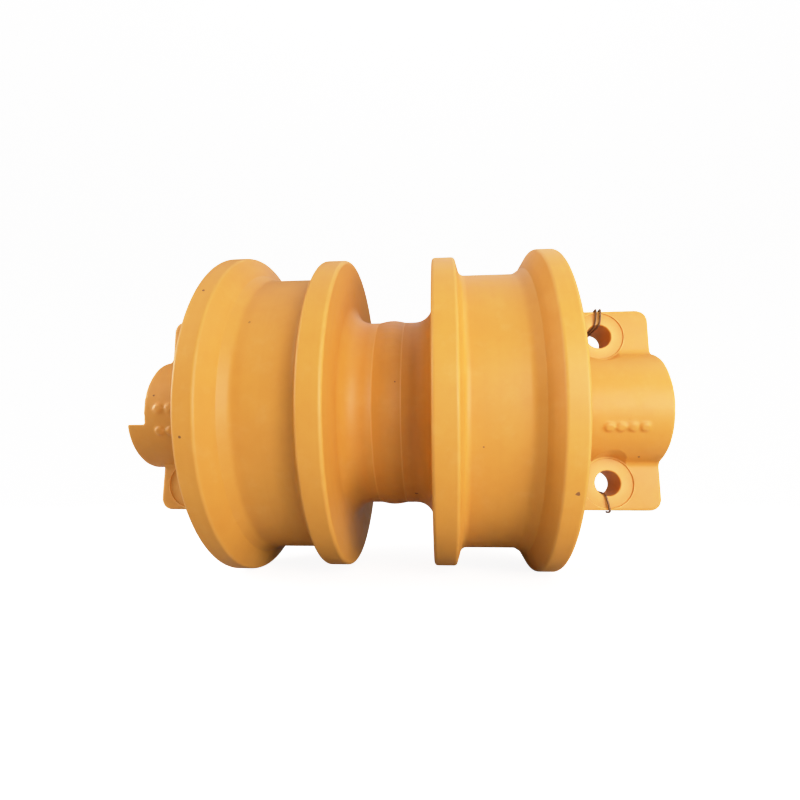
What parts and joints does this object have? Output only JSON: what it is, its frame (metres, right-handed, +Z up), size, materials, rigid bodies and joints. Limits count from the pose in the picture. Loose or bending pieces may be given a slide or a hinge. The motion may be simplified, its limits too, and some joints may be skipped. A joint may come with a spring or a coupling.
{
  "type": "track roller",
  "caption": "Double-flange crawler track roller: two-tread shell spinning on a fixed shaft with face seals, and a spot-faced cast end collar at each end for bolting.",
  "frame": {"origin": "centre of the roller on the shaft's axis, which is also the centre of the bounding box", "axes": "+Y along the shaft's axis towards the collar without a lug; +Z up as the loose roller stands on its flanges; +X towards the ground side of the collars, where the bolt heads go; the collars' seats face -X, which is up when the roller hangs under a track frame"},
  "size_m": [0.24, 0.392, 0.24],
  "materials": {
    "painted_forging": "satin yellow-orange enamel over forged and turned steel",
    "painted_casting": "satin yellow-orange enamel over a sand casting",
    "shaft_steel": "ground, hardened; painted where it shows at the ends",
    "machined_steel": "turned",
    "bronze": "bored bronze, oiled",
    "lapped_iron": "lapped running faces",
    "seal_rubber": "nitrile, matt",
    "fastener_steel": "black oxide"
  },
  "bodies": {
    "root": {"shaft": "shaft_steel", "collar_left": "painted_casting", "collar_right": "painted_casting", "static_seal_ring_left": "lapped_iron", "static_seal_ring_right": "lapped_iron", "static_toric_left": "seal_rubber", "static_toric_right": "seal_rubber", "shaft_oring_left": "seal_rubber", "shaft_oring_right": "seal_rubber", "lock_pin_left": "fastener_steel", "lock_pin_right": "fastener_steel", "fill_plug": "fastener_steel"},
    "roller": {"shell_left": "painted_forging", "shell_right": "painted_forging", "centre_weld": "painted_forging", "bush_housing_left": "machined_steel", "bush_housing_right": "machined_steel", "bush_liner_left": "bronze", "bush_liner_right": "bronze", "thrust_washer_left": "bronze", "thrust_washer_right": "bronze", "housing_screws_left": "fastener_steel", "housing_screws_right": "fastener_steel", "housing_oring_left": "seal_rubber", "housing_oring_right": "seal_rubber", "rotating_seal_ring_left": "lapped_iron", "rotating_seal_ring_right": "lapped_iron", "rotating_toric_left": "seal_rubber", "rotating_toric_right": "seal_rubber"}
  },
  "joints": [
    {"name": "roller_spin", "type": "hinge", "parent": "root", "child": "roller", "pos_m": [0, 0, 0], "axis": [0, 1, 0], "continuous": true}
  ]
}
